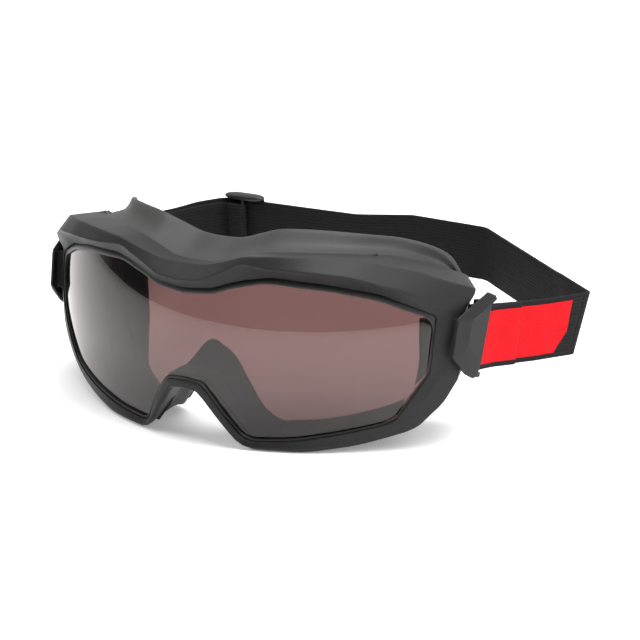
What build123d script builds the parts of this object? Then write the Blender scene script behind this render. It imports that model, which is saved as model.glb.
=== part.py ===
from build123d import *
from math import cos, radians, sin
import os

os.makedirs("parts", exist_ok=True)

# Welding goggles, in millimetres. +X is the wearer's left, -Y is forward and +Z is up.
# The origin is the bridge of the nose, on the symmetry plane.

# Visor: a shell curved both ways, seen through an opening with a nose notch
opening_w = 150.0        # visible lens, side to side
opening_top = 31.5       # highest point of the visible lens above the nose bridge
opening_bottom = 22.5    # lowest point of the visible lens below the nose bridge
visor_ahead = 24.0       # front of the lens ahead of the nose bridge
visor_turn = 48.33       # degrees the visor turns through from the middle to the side of the visible lens
wrap_r = opening_w / 2 / sin(radians(visor_turn))    # radius of the lens seen from above
side_depth = wrap_r * (1 - cos(radians(visor_turn)))  # depth of the side of the visible lens
upright_r = 88.7         # radius of the lens seen from the side
visor_level = 2.9        # height of the foremost point
lens_t = 2.2
lens_rim = 1.0           # lens hidden under the gasket all round
gasket_lip = 0.9         # gasket in front of and behind the lens
gasket_rim = 0.4         # gasket outside the lens edge
brow_gap = 1.4           # extra height of the black gasket along the brow
bezel_lap = 0.6          # the frame's opening stands this far outside the visible lens

# Front frame: bezel and brow shelf
bezel_t = 1.8            # bezel in front of the lens face
brow_out = 4.2           # brow ridge ahead of the lens face
bezel_side = 5.5         # bezel beside the visible lens
temple_out = 2.5         # temple corner outside the bezel side
brow_h = 11.1            # brow above the visible lens
brow_fall = 7.3          # dip of the top edge over the nose
chin_h = 3.5             # bezel under the visible lens
side_w = opening_w + 2 * bezel_side
frame_w = side_w + 2 * temple_out
frame_top = opening_top + brow_h
frame_bottom = opening_bottom + chin_h      # the flat underside that the goggles stand on
brow_dip = frame_top - brow_fall
notch_top = 6.6          # bezel under the nose notch, below the nose bridge
frame_depth = 10.2       # depth of the frame on the centre line
frame_back_r = opening_w / 2                # radius of the frame's back, seen from above
corner_depth = side_depth + 14.85           # depth of the temple corner
temple_depth = side_depth + 25.35           # depth of the frame where the seal ends
seat_gap = 0.1           # clearance round the gasket and the carrier ring

# Face seal
seal_t = 2.6
seal_rise = 1.9          # seal's rim above the frame
seal_inset = 11.0        # seal inside the temple corner
seal_lift = 0.6          # seal's underside above the frame's
seal_top = frame_top + seal_rise
seal_w = frame_w - 2 * seal_inset
seal_bottom = frame_bottom - seal_lift
seal_depth = 22.0        # depth of the seal's edge on the forehead
face_r = 64.0            # radius of the wearer's face, seen from above
seal_reach = side_depth + 27.85             # depth of the seal's edge at the temples
flange_t = 2.0
flange_w = 7.0           # width of the lip that lies on the face
nose_front = 10.6        # depth of the nose pad's front edge
nose_back = 19.0         # depth where the pad meets the seal

# Vent foam in the brow
vent_in = 17.0           # inner end of each strip from the centre line
vent_out = 55.0
vent_low = 34.4
vent_h = 3.4
vent_t = 6.0

# Strap clips, hinged on the frame's sides
strap_w = 21.0
strap_t = 1.2
strap_yaw = 7.0          # outward lean of the strap where it leaves the clip
strap_fall = 13.5        # fall of the strap towards the back
clip_from_side = 0.7     # clip datum outside the bezel side
clip_depth = side_depth + 11.35             # depth of the clip datum
clip_level = 9.7
pin_r = 0.8
pin_clear = 0.05
barrel_r = 2.0
barrel_h = 13.0
lug_h = 3.0
hinge_gap = 0.3
pin_u = -5.5             # hinge pin ahead of the clip datum
pin_w = -1.6             # hinge pin inside the clip datum
bar_r = 1.4
bar_u = 2.5              # strap bar behind the clip datum
bar_w = 0.3
loop_gap = 0.35          # room between the webbing and what it passes
cover_t = 1.9
cover_front = -9.5       # front end of the cover plate, ahead of the clip datum
cover_back = 7.4
cover_lift = 1.6         # underside of the cover's front outside the clip datum
cover_thin = 1.2         # cover's thickness at its front end
recess_room = 1.35       # room between the strap's loop and the frame's recess
recess_u = -1.4          # front end of the recess
recess_l = 40.0
recess_gap = 0.5         # room above the cover in the recess
recess_foot = 0.2        # room below it
cheek_t = 1.6
cheek_rim = 0.8          # cheek outside the bar
cheek_gap = 0.4          # room beside the strap's edges
loop_join = 14.0         # where the two layers of the loop meet
loop_end = 27.0          # stitched end of the loop behind the clip datum
joint_gap = 1.0          # gap between the loops and the main band
tail_gap = 0.5           # gap between the slider's tail and the returning layer
panel_t = 0.4
panel_border = 2.0       # webbing left bare above and below the panel
panel_start = 8.2
panel_end = 62.0
panel_corner = 5.0       # cut off the panel's lower rear corner
fold_u = 73.0            # first fold of the strap behind the clip datum
layer_gap = 0.7          # between the two layers on the left

# Strap slider
slider_l = 18.0
slider_rim = 2.2
slider_bar_t = 1.0
slider_bar_l = 2.6
slider_gap = 0.3
slider_pin_r = 0.7
tail_t = 0.9
tail_l = 6.5

visor_y = -visor_ahead
panel_w = strap_w - 2 * panel_border
visor_axis = Axis((0, visor_y + wrap_r, 0), (0, 0, 1))
wide = opening_w / 150.0
reach = frame_w           # long enough to pass through the whole frame


def down_one_side(points):
    """A closed outline from the points down its +X side."""
    return points + [(-x, z) for x, z in reversed(points[1:-1])]


def lens_points(raise_top):
    """The visible lens: brow, temple, cheek and nose notch."""
    top = opening_top + raise_top
    low = -opening_bottom
    return down_one_side([
        (0, top - 5.8), (11 * wide, top - 4.7), (17 * wide, top - 2.6), (28 * wide, top), (48 * wide, top - 2.3),
        (61.3 * wide, top - 5.8), (75 * wide, top - 13.5), (74 * wide, 0.7), (69.3 * wide, low + 15.5),
        (64.2 * wide, low + 7.3), (50 * wide, low + 4.1), (35.5 * wide, low + 1.3), (20 * wide, low),
        (10.7 * wide, -7.7), (7.2 * wide, -3.1), (0, -2.4),
    ])


with BuildSketch() as lens_edge:
    with BuildLine():
        Polyline(*lens_points(0.0), close=True)
    make_face()
    fillet(lens_edge.vertices(), 1.5)

with BuildSketch() as seat_edge:
    with BuildLine():
        Polyline(*lens_points(brow_gap), close=True)
    make_face()
    fillet(seat_edge.vertices(), 1.5)

with BuildSketch() as frame_edge:
    corner_x = frame_w / 2
    side_x = side_w / 2
    with BuildLine():
        Polyline(*down_one_side([
            (0, brow_dip), (8 * wide, brow_dip + 0.7), (16 * wide, frame_top - 4.0), (24 * wide, frame_top - 1.0),
            (34 * wide, frame_top), (46 * wide, frame_top), (58 * wide, frame_top - 2.5),
            (70 * wide, frame_top - 8.2), (corner_x, frame_top - 17.0), (corner_x, frame_top - 18.5),
            (side_x, frame_top - 20.5), (side_x, -3.0), (70 * wide, -frame_bottom + 8.5),
            (56 * wide, -frame_bottom + 3.5), (41 * wide, -frame_bottom), (19.5 * wide, -frame_bottom),
            (13 * wide, -18.0), (8.5 * wide, -notch_top - 2.0), (5 * wide, -notch_top), (0, -notch_top),
        ]), close=True)
    make_face()

with BuildSketch() as seal_edge:
    seal_x = seal_w / 2
    with BuildLine():
        Polyline(*down_one_side([
            (0, seal_top - 6.0), (8 * wide, seal_top - 5.3), (16 * wide, seal_top - 2.4), (24 * wide, seal_top),
            (34 * wide, seal_top - 0.4), (46 * wide, seal_top - 2.2), (56 * wide, seal_top - 5.2),
            (66 * wide, seal_top - 13.0), (seal_x - 0.5, seal_top - 19.7), (seal_x, 8.0), (seal_x - 1.5, -6.0),
            (65 * wide, -seal_bottom + 8.0), (50 * wide, -seal_bottom + 2.0), (35 * wide, -seal_bottom),
            (23 * wide, -seal_bottom), (17 * wide, -14.0), (11 * wide, -1.0), (6 * wide, 5.5), (0, 7.5),
        ]), close=True)
    make_face()

ahead = Plane((0, visor_y - 10, 0), x_dir=(1, 0, 0), z_dir=(0, -1, 0))


def tube(outline, grow):
    """Everything inside an outline grown by an amount, from ahead of the visor to behind the seal."""
    with BuildPart() as inside:
        with BuildSketch(ahead):
            add(outline.sketch_local)
            if grow != 0:
                offset(amount=grow)
        extrude(amount=-reach)
    return inside.part


def behind_visor(out):
    """Everything behind the lens face when that face is moved outwards."""
    with BuildPart() as core:
        with BuildSketch(Plane.YZ):
            with Locations((visor_y + upright_r, visor_level)):
                Circle(upright_r + out)
            with Locations((visor_y + wrap_r, visor_level)):
                Rectangle(4 * wrap_r, 4 * upright_r, align=(Align.MIN, Align.CENTER), mode=Mode.SUBTRACT)
        revolve(axis=visor_axis)
    return core.part


def upright_cylinder(radius, nearest):
    """An upright cylinder whose nearest point to the visor lies at a depth behind it."""
    with BuildPart() as round_body:
        with Locations((0, visor_y + nearest + radius, 0)):
            Cylinder(radius, 2 * reach)
    return round_body.part


def rear_limit(corner, back):
    """Everything ahead of the temples, with the corners cut off towards the back."""
    half = frame_w / 2 + 5
    inner = seal_w / 2 + 0.5
    with BuildPart() as limit:
        with BuildSketch(Plane.XY.offset(-reach)):
            with BuildLine():
                Polyline((-half, visor_y - 10), (half, visor_y - 10), (half, visor_y + corner),
                         (frame_w / 2, visor_y + corner), (inner, visor_y + back), (-inner, visor_y + back),
                         (-frame_w / 2, visor_y + corner), (-half, visor_y + corner), close=True)
            make_face()
        extrude(amount=2 * reach)
    return limit.part


frame_hollow = upright_cylinder(frame_back_r, frame_depth)
face = upright_cylinder(face_r, seal_depth)
frame_limit = rear_limit(corner_depth, temple_depth)

# Clip datum: u runs back along the strap, v up across it and w outwards
yaw, fall = radians(strap_yaw), radians(strap_fall)
clip_origin = Vector(side_w / 2 + clip_from_side, visor_y + clip_depth, clip_level)
clip_plane = Plane(clip_origin, x_dir=(sin(yaw) * cos(fall), cos(yaw) * cos(fall), -sin(fall)),
                   z_dir=(cos(yaw), -sin(yaw), 0))
across = Plane(clip_origin, x_dir=clip_plane.x_dir, z_dir=-clip_plane.y_dir)

# ---------------------------------------------------------------- lens
lens_outside = behind_visor(0.0)
lens_inside = behind_visor(-lens_t)
lens_tube = tube(lens_edge, lens_rim)

with BuildPart() as lens:
    add(lens_outside)
    add(lens_inside, mode=Mode.SUBTRACT)
    add(lens_tube, mode=Mode.INTERSECT)
lens.part.label = "lens"
export_step(lens.part, "parts/lens.step")

# ---------------------------------------------------------------- lens gasket
gasket_outside = behind_visor(gasket_lip)
gasket_inside = behind_visor(-lens_t - gasket_lip)
gasket_tube = tube(seat_edge, lens_rim + gasket_rim)
lens_window = tube(lens_edge, 0.0)

with BuildPart() as lens_gasket:
    add(gasket_outside)
    add(gasket_inside, mode=Mode.SUBTRACT)
    add(gasket_tube, mode=Mode.INTERSECT)
    add(lens_window, mode=Mode.SUBTRACT)
    add(lens.part, mode=Mode.SUBTRACT)
lens_gasket.part.label = "lens_gasket"
export_step(lens_gasket.part, "parts/lens_gasket.step")

# ---------------------------------------------------------------- hinge and clip space on the right side
cheek_v = strap_w / 2 + cheek_gap
loop_r = bar_r + loop_gap + strap_t
cover_w = bar_w + loop_r + loop_gap
cheek_top = cover_w + cover_t / 4
cheek_foot = bar_w - bar_r - cheek_rim
cover_top = cheek_v + cheek_t + 1.9
cover_bottom = cheek_v + cheek_t + 1.0
lug_top = barrel_h / 2 + hinge_gap
hinge = Plane(clip_plane.from_local_coords(Vector(pin_u, 0, pin_w)), x_dir=clip_plane.x_dir,
              z_dir=clip_plane.y_dir)

with BuildPart() as hinge_lug_pair:
    with BuildSketch(hinge.offset(-lug_top - lug_h)):
        Circle(barrel_r)
        Circle(pin_r, mode=Mode.SUBTRACT)
    extrude(amount=lug_h)
    with BuildSketch(hinge.offset(lug_top)):
        Circle(barrel_r)
        Circle(pin_r, mode=Mode.SUBTRACT)
    extrude(amount=lug_h)
hinge_lugs = hinge_lug_pair.part

with BuildPart() as clip_space:
    with BuildSketch(hinge.offset(-lug_top)):
        Circle(barrel_r + hinge_gap)
        with Locations((0, -4)):
            Rectangle(2 * barrel_r + 2 * hinge_gap + 2, 8)
    extrude(amount=2 * lug_top)
    with BuildSketch(hinge.offset(-lug_top - lug_h)):
        Circle(pin_r)
    extrude(amount=2 * (lug_top + lug_h))
    with BuildSketch(clip_plane.offset(bar_w - loop_r - recess_room)):
        with Locations((recess_l / 2 + recess_u, (cover_top + recess_gap - cover_bottom - recess_foot) / 2)):
            Rectangle(recess_l, cover_top + recess_gap + cover_bottom + recess_foot)
    extrude(amount=reach / 8)
clip_room = clip_space.part

# ---------------------------------------------------------------- front frame
bezel_face = behind_visor(bezel_t)
pocket_face = behind_visor(gasket_lip + seat_gap)
frame_tube = tube(frame_edge, 0.0)
frame_opening = tube(seat_edge, bezel_lap)
pocket_tube = tube(seat_edge, lens_rim + gasket_rim + seat_gap)
with BuildPart() as brow:
    with BuildSketch(Plane.YZ):
        with BuildLine():
            Polyline((visor_y + wrap_r, 18), (visor_y - bezel_t, 18), (visor_y - brow_out, 36),
                     (visor_y - brow_out, 60), (visor_y + wrap_r, 60), close=True)
        make_face()
    revolve(axis=visor_axis)

with BuildPart() as vent_strips:
    with BuildSketch(Plane.XZ):
        with Locations(((vent_in + vent_out) / 2 * wide, vent_low + vent_h / 2),
                       (-(vent_in + vent_out) / 2 * wide, vent_low + vent_h / 2)):
            Rectangle((vent_out - vent_in) * wide, vent_h)
    extrude(amount=reach, both=True)
    with BuildSketch(Plane.XY.offset(-reach)):
        with Locations((0, visor_y + frame_depth + frame_back_r)):
            Circle(frame_back_r + vent_t)
            Circle(frame_back_r, mode=Mode.SUBTRACT)
        with Locations((0, visor_y + wrap_r)):
            Rectangle(4 * wrap_r, wrap_r * 2, align=(Align.CENTER, Align.MIN), mode=Mode.SUBTRACT)
    extrude(amount=2 * reach, mode=Mode.INTERSECT)

with BuildPart() as front_frame:
    add(bezel_face)
    add(brow.part)
    add(frame_tube, mode=Mode.INTERSECT)
    add(frame_limit, mode=Mode.INTERSECT)
    add(frame_hollow, mode=Mode.SUBTRACT)
    add(frame_opening, mode=Mode.SUBTRACT)
    add(pocket_tube.intersect(pocket_face), mode=Mode.SUBTRACT)
    add(vent_strips.part, mode=Mode.SUBTRACT)
    add(clip_room, mode=Mode.SUBTRACT)
    add(mirror(clip_room, about=Plane.YZ), mode=Mode.SUBTRACT)
    add(hinge_lugs)
    add(mirror(hinge_lugs, about=Plane.YZ))
front_frame.part.label = "front_frame"
export_step(front_frame.part, "parts/front_frame.step")

# ---------------------------------------------------------------- rear frame
carrier_face = behind_visor(-lens_t - gasket_lip - seat_gap)
carrier_tube = tube(seat_edge, lens_rim + gasket_rim)
carrier_window = tube(lens_edge, -0.4)

with BuildPart() as rear_frame:
    add(carrier_tube)
    add(carrier_face, mode=Mode.INTERSECT)
    add(frame_limit, mode=Mode.INTERSECT)
    add(frame_hollow, mode=Mode.SUBTRACT)
    add(carrier_window, mode=Mode.SUBTRACT)
rear_frame.part.label = "rear_frame"
export_step(rear_frame.part, "parts/rear_frame.step")

# ---------------------------------------------------------------- vent foam, one strip over each eye
for side, strip in zip(("right", "left"), vent_strips.solids().sort_by(Axis.X)):
    with BuildPart() as vent_foam:
        add(strip)
    vent_foam.part.label = f"vent_foam_{side}"
    export_step(vent_foam.part, f"parts/vent_foam_{side}.step")

# ---------------------------------------------------------------- nose pad
def arch(points):
    """The closed outline under an arch given from its foot on the +X side to its crown."""
    return [(x * wide, z) for x, z in points] + [(-x * wide, z) for x, z in points[-2::-1]]


def arch_loft(front_points, back_points):
    """A solid whose cross-section changes from one arch at the frame to another at the seal."""
    with BuildPart() as body:
        for depth, points in ((nose_front, front_points), (nose_back, back_points)):
            with BuildSketch(Plane((0, visor_y + depth, 0), x_dir=(1, 0, 0), z_dir=(0, -1, 0))):
                with BuildLine():
                    Polyline(*arch(points), close=True)
                make_face()
        loft(ruled=True)
    return body.part


nose_low = -seal_bottom
nose_outside = arch_loft([(22.3, nose_low), (15.6, -16), (11, -6.4), (6, -3.6), (0, -3.6)],
                         [(26, nose_low), (19.6, -13), (13.4, 0.6), (7.2, 7.8), (0, 10.1)])
nose_inside = arch_loft([(19.8, nose_low - 1), (13, -17), (9, -8.2), (5.2, -6.2), (0, -6.2)],
                        [(23.3, nose_low - 1), (17, -14), (11, -1), (6, 5.5), (0, 7.5)])

with BuildPart() as nose_pad:
    add(nose_outside)
    add(nose_inside, mode=Mode.SUBTRACT)
    add(frame_hollow, mode=Mode.INTERSECT)
nose_pad.part.label = "nose_pad"
export_step(nose_pad.part, "parts/nose_pad.step")

# ---------------------------------------------------------------- face seal
seal_outside = tube(seal_edge, 0.0)
seal_inside = tube(seal_edge, -seal_t)
lip_inside = tube(seal_edge, -seal_t - flange_w)
lip_front = upright_cylinder(face_r + flange_t, seal_depth - flange_t)
seal_limit = rear_limit(seal_reach, seal_reach)

with BuildPart() as seal_lip:
    add(lip_front)
    add(seal_outside, mode=Mode.INTERSECT)
    add(lip_inside, mode=Mode.SUBTRACT)

with BuildPart() as face_seal:
    add(seal_outside)
    add(seal_inside, mode=Mode.SUBTRACT)
    add(seal_lip.part)
    add(frame_hollow, mode=Mode.INTERSECT)
    add(face, mode=Mode.SUBTRACT)
    add(seal_limit, mode=Mode.INTERSECT)
    with Locations((0, visor_y + nose_back - 20, -12)):
        Box(56 * wide, 40, 46, mode=Mode.SUBTRACT)
face_seal.part.label = "face_seal"
export_step(face_seal.part, "parts/face_seal.step")

# ---------------------------------------------------------------- strap clip, cover plate with hinge barrel and strap bar
with BuildPart() as clip_right:
    with BuildSketch(across.offset(-2 * cover_top)):
        with BuildLine():
            Polyline((cover_front, cover_lift), (cover_front, cover_lift + cover_thin),
                     (cover_back, cover_w + cover_t), (cover_back, cover_w), (-1.0, cover_w),
                     (-2.4, cover_lift), close=True)
        make_face()
    extrude(amount=4 * cover_top)
    with BuildSketch(clip_plane):
        with BuildLine():
            Polyline((cover_front, -barrel_h / 2 - 0.3), (cover_front + 1.3, barrel_h / 2 + 0.5),
                     (cover_back - 1.9, cover_top), (cover_back, cover_top - 0.4),
                     (cover_back - 0.4, 1.0 - cover_bottom), (cover_back - 2.1, -cover_bottom),
                     (cover_back - 7.9, 2.0 - cover_bottom), close=True)
        make_face()
    extrude(amount=cover_top, both=True, mode=Mode.INTERSECT)
    with BuildSketch(hinge.offset(-barrel_h / 2)):
        Circle(barrel_r)
        with Locations((0, -2.0)):
            Rectangle(3.0, 4.0)
        Circle(pin_r + pin_clear, mode=Mode.SUBTRACT)
    extrude(amount=barrel_h)
    for low in (-cheek_v - cheek_t, cheek_v):
        with BuildSketch(across.offset(-low)):
            with Locations((bar_u, (cheek_top + cheek_foot) / 2)):
                Rectangle(2 * (bar_r + cheek_rim), cheek_top - cheek_foot)
        extrude(amount=-cheek_t)
    with BuildSketch(across.offset(-cheek_v)):
        with Locations((bar_u, bar_w)):
            Circle(bar_r)
    extrude(amount=2 * cheek_v)
clip_right.part.label = "clip_right"
export_step(clip_right.part, "parts/clip_right.step")

with BuildPart() as clip_left:
    add(mirror(clip_right.part, about=Plane.YZ))
clip_left.part.label = "clip_left"
export_step(clip_left.part, "parts/clip_left.step")

with BuildPart() as clip_pin_right:
    with BuildSketch(hinge.offset(-lug_top - lug_h)):
        Circle(pin_r)
    extrude(amount=2 * (lug_top + lug_h))
clip_pin_right.part.label = "clip_pin_right"
export_step(clip_pin_right.part, "parts/clip_pin_right.step")

with BuildPart() as clip_pin_left:
    add(mirror(clip_pin_right.part, about=Plane.YZ))
clip_pin_left.part.label = "clip_pin_left"
export_step(clip_pin_left.part, "parts/clip_pin_left.step")

# ---------------------------------------------------------------- strap: sewn loop on the right clip
loop_w = strap_t + 0.05                     # half the thickness of the two sewn layers
part_w = strap_t + layer_gap / 2            # the same where the layers lie apart


def loop_profile(half_end, split):
    """Webbing seen along the clip's bar: round the bar and back to the end of the loop."""
    outer, inner = loop_r, loop_r - strap_t
    gap = half_end - strap_t
    with BuildSketch() as profile:
        with BuildLine():
            Polyline((bar_u, bar_w - outer), (loop_join, bar_w - half_end), (loop_end, bar_w - half_end),
                     (loop_end, bar_w + half_end), (loop_join, bar_w + half_end), (bar_u, bar_w + outer))
            ThreePointArc((bar_u, bar_w + outer), (bar_u - outer, bar_w), (bar_u, bar_w - outer))
        make_face()
        if split:
            slot = [(loop_join, bar_w - gap), (loop_end + 1, bar_w - gap), (loop_end + 1, bar_w + gap),
                    (loop_join, bar_w + gap)]
        else:
            slot = [(loop_join - 0.5, bar_w)]
        with BuildLine():
            Polyline((bar_u, bar_w - inner), *slot, (bar_u, bar_w + inner))
            ThreePointArc((bar_u, bar_w + inner), (bar_u - inner, bar_w), (bar_u, bar_w - inner))
        make_face(mode=Mode.SUBTRACT)
    return profile.sketch


sewn_profile = loop_profile(loop_w, False)
free_profile = loop_profile(part_w, True)

with BuildPart() as strap_loop_right:
    with BuildSketch(across.offset(-strap_w / 2)):
        add(sewn_profile)
    extrude(amount=strap_w)
strap_loop_right.part.label = "strap_loop_right"
export_step(strap_loop_right.part, "parts/strap_loop_right.step")

# ---------------------------------------------------------------- strap: free loop on the left clip
with BuildPart() as loop_left_blank:
    with BuildSketch(across.offset(-strap_w / 2)):
        add(free_profile)
    extrude(amount=strap_w)

with BuildPart() as strap_loop_left:
    add(mirror(loop_left_blank.part, about=Plane.YZ))
strap_loop_left.part.label = "strap_loop_left"
export_step(strap_loop_left.part, "parts/strap_loop_left.step")

# ---------------------------------------------------------------- strap: main band and returning layer
band_start = clip_plane.from_local_coords(Vector(loop_end + joint_gap, 0, bar_w - strap_t / 2))
first_fold = clip_plane.from_local_coords(Vector(fold_u, 0, bar_w - strap_t / 2))
level = first_fold.Z
clip_y = visor_y + clip_depth
back_route = [Vector(67 * wide, clip_y + 89, level), Vector(24 * wide, clip_y + 119, level)]
slider_at = Vector(-84.7 * wide, clip_y + 115, level)
run = (back_route[1] - slider_at).normalized()
left_route = [slider_at - run * (tail_l + 4), Vector(-102 * wide, clip_y + 106.5, level),
              Vector(-105.5 * wide, clip_y + 96, level), Vector(-107 * wide, clip_y + 86, level)]
left_end = clip_plane.from_local_coords(Vector(loop_end + joint_gap, 0, bar_w + part_w - strap_t / 2))
left_inner = clip_plane.from_local_coords(Vector(loop_end + joint_gap, 0, bar_w - part_w + strap_t / 2))
band_end = Vector(-left_end.X, left_end.Y, left_end.Z)
return_end = Vector(-left_inner.X, left_inner.Y, left_inner.Z)
fold_r = 2.0


def webbing(points, thickness):
    """Flat webbing with its width upright, along straight runs with short mitred folds."""
    stations = [(points[0], (points[1] - points[0]).normalized())]
    for before, here, after in zip(points, points[1:], points[2:]):
        arrive, leave = (here - before).normalized(), (after - here).normalized()
        stations += [(here - arrive * fold_r, arrive), (here + leave * fold_r, leave)]
    stations.append((points[-1], (points[-1] - points[-2]).normalized()))
    with BuildPart() as strip:
        for place, along in stations:
            with BuildSketch(Plane(place, x_dir=Vector(along.Y, -along.X, 0).normalized(), z_dir=along)):
                Rectangle(thickness, strap_w)
        loft(ruled=True)
    return strip.part


strap = webbing([band_start, first_fold, *back_route, *left_route, band_end], strap_t)

with BuildPart() as strap_band:
    add(strap)
strap_band.part.label = "strap_band"
export_step(strap_band.part, "parts/strap_band.step")

# the returning layer lies on the inside of the band, from the slider's tail to the left clip
inward = Vector(run.Y, -run.X, 0)
layer_pitch = strap_t + layer_gap
return_points = [slider_at - run * (tail_l + tail_gap) + inward * layer_pitch]
for before, here, after in zip([slider_at, *left_route], left_route, [*left_route[1:], band_end]):
    bisector = ((here - before).normalized() + (after - here).normalized()).normalized()
    return_points.append(here + Vector(-bisector.Y, bisector.X, 0) * layer_pitch)
returning = webbing([*return_points, return_end], strap_t)

with BuildPart() as strap_return:
    add(returning)
strap_return.part.label = "strap_return"
export_step(strap_return.part, "parts/strap_return.step")

# ---------------------------------------------------------------- strap slider with its sewn tail
slider_plane = Plane(slider_at, x_dir=run, z_dir=inward)
rail_v = strap_w / 2 + 0.4
bar_n = strap_t / 2 + slider_gap + tail_t + 0.05 + slider_pin_r
rail_out = -strap_t / 2 - slider_gap - slider_bar_t
rail_in = bar_n + slider_pin_r

with BuildPart() as slider:
    with BuildSketch(slider_plane.offset(rail_out)):
        for v in (rail_v + slider_rim / 2, -rail_v - slider_rim / 2):
            with Locations((0, v)):
                RectangleRounded(slider_l, slider_rim, slider_rim / 2 - 0.1)
    extrude(amount=rail_in - rail_out)
    with BuildSketch(slider_plane.offset(rail_out)):
        for u in (slider_l / 2 - slider_bar_l / 2 - 0.6, -slider_l / 2 + slider_bar_l / 2 + 0.6):
            with Locations((u, 0)):
                Rectangle(slider_bar_l, 2 * rail_v + 1)
    extrude(amount=slider_bar_t)
    with BuildSketch(Plane(slider_at + inward * bar_n - Vector(0, 0, rail_v + 0.5), x_dir=run, z_dir=(0, 0, 1))):
        Circle(slider_pin_r)
    extrude(amount=2 * rail_v + 1)
slider.part.label = "slider"
export_step(slider.part, "parts/slider.step")

with BuildPart() as slider_tail:
    hug = slider_pin_r + 0.05
    with BuildSketch(Plane(slider_at - Vector(0, 0, strap_w / 2), x_dir=run, z_dir=(0, 0, 1))):
        with Locations((0, -bar_n)):
            Circle(hug + tail_t)
        with BuildLine():
            Polyline((0, -bar_n - hug - tail_t), (-tail_l, -bar_n - tail_t), (-tail_l, -bar_n + tail_t),
                     (0, -bar_n + hug + tail_t), close=True)
        make_face()
        with Locations((0, -bar_n)):
            Circle(hug, mode=Mode.SUBTRACT)
    extrude(amount=strap_w)
slider_tail.part.label = "slider_tail"
export_step(slider_tail.part, "parts/slider_tail.step")

# ---------------------------------------------------------------- red side panel, on the loop and on the band
panel_rise = (loop_r - loop_w) * (loop_join - panel_start) / (loop_join - bar_u)

with BuildPart() as side_panel_loop:
    with BuildSketch(across.offset(-panel_w / 2)):
        with BuildLine():
            Polyline((panel_start, bar_w + loop_w + panel_rise),
                     (loop_join, bar_w + loop_w), (loop_end, bar_w + loop_w), (loop_end, bar_w + loop_w + panel_t),
                     (loop_join, bar_w + loop_w + panel_t),
                     (panel_start, bar_w + loop_w + panel_t + panel_rise), close=True)
        make_face()
    extrude(amount=panel_w)
side_panel_loop.part.label = "side_panel_loop"
export_step(side_panel_loop.part, "parts/side_panel_loop.step")

with BuildPart() as side_panel:
    with BuildSketch(clip_plane.offset(bar_w)):
        with BuildLine():
            Polyline((loop_end + joint_gap, panel_w / 2), (panel_end, panel_w / 2),
                     (panel_end, 1.3 * panel_corner - panel_w / 2), (panel_end - panel_corner, -panel_w / 2),
                     (loop_end + joint_gap, -panel_w / 2), close=True)
        make_face()
    extrude(amount=panel_t)
side_panel.part.label = "side_panel"
export_step(side_panel.part, "parts/side_panel.step")
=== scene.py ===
import bmesh
import bpy
import numpy as np
from mathutils import Matrix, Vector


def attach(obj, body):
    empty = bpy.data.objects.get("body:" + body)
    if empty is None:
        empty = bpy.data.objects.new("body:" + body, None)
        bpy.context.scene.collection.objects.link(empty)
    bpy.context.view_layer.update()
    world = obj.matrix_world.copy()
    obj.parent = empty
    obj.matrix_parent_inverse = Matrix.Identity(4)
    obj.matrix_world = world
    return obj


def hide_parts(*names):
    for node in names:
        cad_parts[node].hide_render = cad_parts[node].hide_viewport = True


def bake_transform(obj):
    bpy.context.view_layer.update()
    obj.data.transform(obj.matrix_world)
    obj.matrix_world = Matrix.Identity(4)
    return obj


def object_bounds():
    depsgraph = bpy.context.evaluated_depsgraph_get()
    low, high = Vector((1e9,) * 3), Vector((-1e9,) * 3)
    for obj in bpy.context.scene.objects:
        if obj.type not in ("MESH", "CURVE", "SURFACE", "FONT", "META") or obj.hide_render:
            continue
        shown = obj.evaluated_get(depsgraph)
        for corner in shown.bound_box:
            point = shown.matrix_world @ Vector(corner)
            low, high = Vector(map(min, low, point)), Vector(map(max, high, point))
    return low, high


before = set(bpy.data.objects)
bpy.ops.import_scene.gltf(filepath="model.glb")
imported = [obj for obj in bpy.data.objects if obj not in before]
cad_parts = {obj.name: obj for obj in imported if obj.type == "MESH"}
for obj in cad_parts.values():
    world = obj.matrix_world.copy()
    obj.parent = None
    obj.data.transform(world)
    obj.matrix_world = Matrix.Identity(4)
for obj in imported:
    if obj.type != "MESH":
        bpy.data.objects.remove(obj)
cad_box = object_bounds()
MM = 0.001

# ------------------------------------------------------------------ camera
# A long lens from the wearer's left, a little above the goggles, tipped slightly.
camera_data = bpy.data.cameras.new("camera")
camera_data.sensor_width = 36.0
camera_data.lens = 134.29
camera_data.clip_start = 0.05
camera = bpy.data.objects.new("camera", camera_data)
bpy.context.scene.collection.objects.link(camera)
camera.matrix_world = Matrix((
    (0.84042174, -0.15018817, 0.52070607, 0.4412512),
    (0.54043803, 0.3035845, -0.78470579, -0.6070207),
    (-0.04022476, 0.94089317, 0.33630642, 0.2758529),
    (0, 0, 0, 1)))
bpy.context.scene.camera = camera
bpy.context.scene.view_settings.view_transform = "Standard"


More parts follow.
